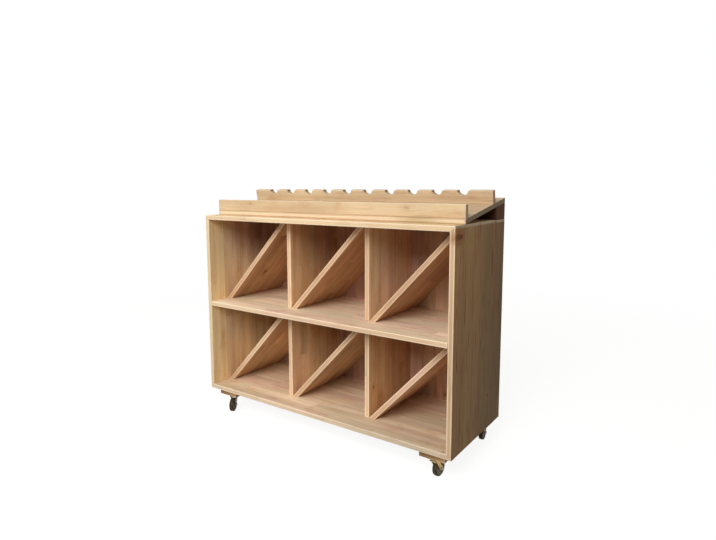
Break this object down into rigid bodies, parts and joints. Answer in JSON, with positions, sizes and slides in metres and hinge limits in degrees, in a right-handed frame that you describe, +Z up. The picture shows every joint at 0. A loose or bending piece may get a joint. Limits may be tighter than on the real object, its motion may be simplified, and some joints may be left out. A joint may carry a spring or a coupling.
{
  "type": "wine display rack",
  "caption": "Open wooden case with shelf, dividers and diagonal bottle bins, topped by a tilted display tray with a lip and a notched bottle rail, on swivel casters.",
  "frame": {"origin": "middle of the case's footprint, on the floor that the casters stand on", "axes": "+Z up, the open front faces -Y, +X towards the right-hand end as seen from the front"},
  "size_m": [1.2, 0.44, 0.9989],
  "materials": {
    "pine_case": "waxed softwood boards, satin",
    "pine_back": "waxed softwood staves, matt",
    "pine_bins": "waxed softwood boards, satin",
    "pine_tray": "waxed softwood boards, satin",
    "pine_dark": "stained softwood, matt",
    "pine_block": "planed softwood, matt",
    "zinc_steel": "yellow zinc plated steel",
    "bright_steel": "bright zinc plated steel",
    "hub_plastic": "moulded nylon",
    "tyre_rubber": "black rubber"
  },
  "bodies": {
    "cabinet": {"side_panel_left": "pine_case", "side_panel_right": "pine_case", "top_panel": "pine_case", "bottom_panel": "pine_case", "shelf": "pine_case", "back_panel": "pine_back", "divider_lower_left": "pine_bins", "divider_lower_right": "pine_bins", "divider_upper_left": "pine_bins", "divider_upper_right": "pine_bins", "diagonal_lower_1": "pine_bins", "diagonal_lower_2": "pine_bins", "diagonal_lower_3": "pine_bins", "diagonal_upper_1": "pine_bins", "diagonal_upper_2": "pine_bins", "diagonal_upper_3": "pine_bins", "tray_floor": "pine_tray", "tray_front_lip": "pine_tray", "bottle_rail": "pine_tray", "rear_riser": "pine_dark", "caster_block_front_left": "pine_block", "caster_block_front_right": "pine_block", "caster_block_rear_left": "pine_block", "caster_block_rear_right": "pine_block", "caster_plate_front_left": "zinc_steel", "caster_plate_front_right": "zinc_steel", "caster_plate_rear_left": "zinc_steel", "caster_plate_rear_right": "zinc_steel", "swivel_race_front_left": "bright_steel", "swivel_race_front_right": "bright_steel", "swivel_race_rear_left": "bright_steel", "swivel_race_rear_right": "bright_steel", "kingpin_front_left": "bright_steel", "kingpin_front_right": "bright_steel", "kingpin_rear_left": "bright_steel", "kingpin_rear_right": "bright_steel"},
    "caster_fork_front_left": {"fork_front_left": "zinc_steel", "axle_bolt_front_left": "bright_steel", "axle_nut_front_left": "bright_steel"},
    "caster_fork_front_right": {"fork_front_right": "zinc_steel", "axle_bolt_front_right": "bright_steel", "axle_nut_front_right": "bright_steel"},
    "caster_fork_rear_left": {"fork_rear_left": "zinc_steel", "axle_bolt_rear_left": "bright_steel", "axle_nut_rear_left": "bright_steel"},
    "caster_fork_rear_right": {"fork_rear_right": "zinc_steel", "axle_bolt_rear_right": "bright_steel", "axle_nut_rear_right": "bright_steel"},
    "wheel_front_left": {"wheel_hub_front_left": "hub_plastic", "tyre_front_left": "tyre_rubber"},
    "wheel_front_right": {"wheel_hub_front_right": "hub_plastic", "tyre_front_right": "tyre_rubber"},
    "wheel_rear_left": {"wheel_hub_rear_left": "hub_plastic", "tyre_rear_left": "tyre_rubber"},
    "wheel_rear_right": {"wheel_hub_rear_right": "hub_plastic", "tyre_rear_right": "tyre_rubber"}
  },
  "joints": [
    {"name": "swivel_front_left", "type": "hinge", "parent": "cabinet", "child": "caster_fork_front_left", "pos_m": [-0.502, -0.171, 0.0665], "axis": [0, 0, 1], "continuous": true},
    {"name": "swivel_front_right", "type": "hinge", "parent": "cabinet", "child": "caster_fork_front_right", "pos_m": [0.525, -0.185, 0.0665], "axis": [0, 0, 1], "continuous": true},
    {"name": "swivel_rear_left", "type": "hinge", "parent": "cabinet", "child": "caster_fork_rear_left", "pos_m": [-0.544, 0.168, 0.0665], "axis": [0, 0, 1], "continuous": true},
    {"name": "swivel_rear_right", "type": "hinge", "parent": "cabinet", "child": "caster_fork_rear_right", "pos_m": [0.549, 0.167, 0.0665], "axis": [0, 0, 1], "continuous": true},
    {"name": "wheel_spin_front_left", "type": "hinge", "parent": "caster_fork_front_left", "child": "wheel_front_left", "pos_m": [-0.49133, -0.19024, 0.03], "axis": [-0.8746, -0.4848, 0], "continuous": true},
    {"name": "wheel_spin_front_right", "type": "hinge", "parent": "caster_fork_front_right", "child": "wheel_front_right", "pos_m": [0.52692, -0.16308, 0.03], "axis": [0.9962, -0.0872, 0], "continuous": true},
    {"name": "wheel_spin_rear_left", "type": "hinge", "parent": "caster_fork_rear_left", "child": "wheel_rear_left", "pos_m": [-0.533, 0.18705, 0.03], "axis": [0.866, -0.5, 0], "continuous": true},
    {"name": "wheel_spin_rear_right", "type": "hinge", "parent": "caster_fork_rear_right", "child": "wheel_rear_right", "pos_m": [0.54632, 0.18884, 0.03], "axis": [0.9925, 0.1219, 0], "continuous": true}
  ]
}
